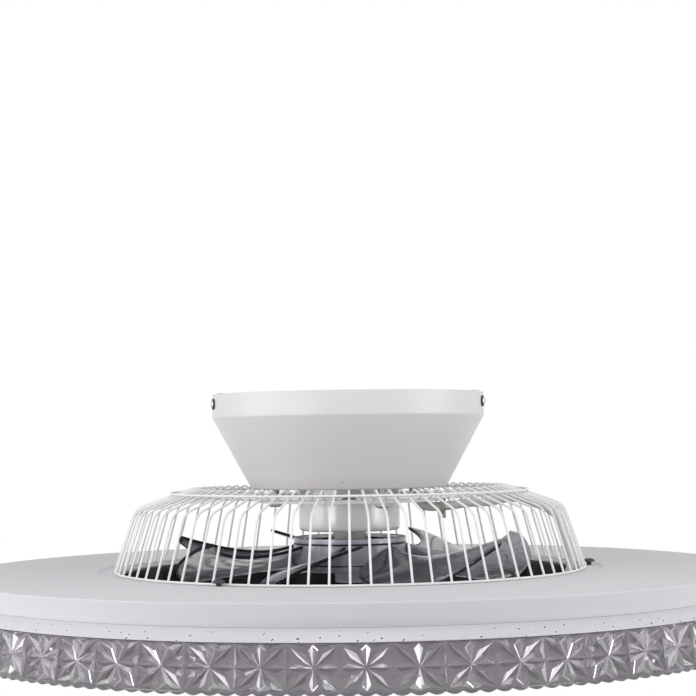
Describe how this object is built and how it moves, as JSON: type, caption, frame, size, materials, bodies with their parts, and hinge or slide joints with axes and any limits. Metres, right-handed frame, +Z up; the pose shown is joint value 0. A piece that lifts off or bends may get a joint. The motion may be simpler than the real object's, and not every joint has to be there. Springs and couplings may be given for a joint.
{
  "type": "ceiling fan with ring light",
  "caption": "Flush ceiling fan with a conical canopy, a white wire cage round a smoky impeller, and a flat disc light edged with a star-cut clear ring.",
  "frame": {"origin": "centre of the ceiling bracket's flat upper face, on the motor's axis, in the ceiling plane", "axes": "+Z up into the ceiling along the motor's axis, -Y towards the front of the picture, +X to its right"},
  "size_m": [0.4998, 0.4998, 0.1543],
  "materials": {
    "white_paint": "satin white powder coat",
    "white_wire": "white coated wire",
    "white_plastic": "moulded white plastic",
    "smoky_plastic": "smoky translucent moulding",
    "opal_acrylic": "opal acrylic with small dark flecks in its band",
    "clear_acrylic": "clear faceted acrylic",
    "black_plastic": "dark moulded plastic",
    "zinc_steel": "zinc plated",
    "bright_steel": "ground steel",
    "wound_copper": "enamelled copper windings on a laminated core",
    "ferrite": "sintered magnet",
    "aluminium_board": "plain board",
    "grey_sleeve": "braided grey sleeve",
    "rubber": "soft black rubber"
  },
  "bodies": {
    "housing": {"ceiling_bracket": "zinc_steel", "canopy": "white_paint", "canopy_screw_1": "zinc_steel", "canopy_screw_2": "zinc_steel", "canopy_screw_3": "zinc_steel", "canopy_screw_4": "zinc_steel", "control_box": "white_plastic", "terminal_block": "white_plastic", "hanger_plate": "white_paint", "support_spacer": "zinc_steel", "plate_bolt_1": "zinc_steel", "plate_bolt_2": "zinc_steel", "plate_bolt_3": "zinc_steel", "plate_nut_1": "zinc_steel", "plate_nut_2": "zinc_steel", "plate_nut_3": "zinc_steel", "wire_cage": "white_wire", "cage_band": "white_wire", "cage_screw_1": "zinc_steel", "cage_screw_2": "zinc_steel", "cage_screw_3": "zinc_steel", "motor_housing": "white_plastic", "motor_screw_1": "zinc_steel", "motor_screw_2": "zinc_steel", "motor_screw_3": "zinc_steel", "upper_bearing": "bright_steel", "lower_bearing": "bright_steel", "stator": "wound_copper", "light_cable": "grey_sleeve", "cable_tie": "white_plastic", "cable_grommet": "rubber", "light_pan": "white_paint", "air_duct": "black_plastic", "led_board": "aluminium_board", "diffuser": "opal_acrylic", "crystal_ring": "clear_acrylic", "bottom_grille": "white_plastic", "grille_cap": "white_plastic", "grille_screw_1": "zinc_steel", "grille_screw_2": "zinc_steel", "grille_screw_3": "zinc_steel"},
    "rotor": {"motor_shaft": "bright_steel", "rotor_bell": "zinc_steel", "magnet_ring": "ferrite", "impeller": "smoky_plastic", "impeller_nut": "white_plastic"}
  },
  "joints": [
    {"name": "rotor_spin", "type": "hinge", "parent": "housing", "child": "rotor", "pos_m": [0, 0, -0.09], "axis": [0, 0, 1], "continuous": true}
  ]
}
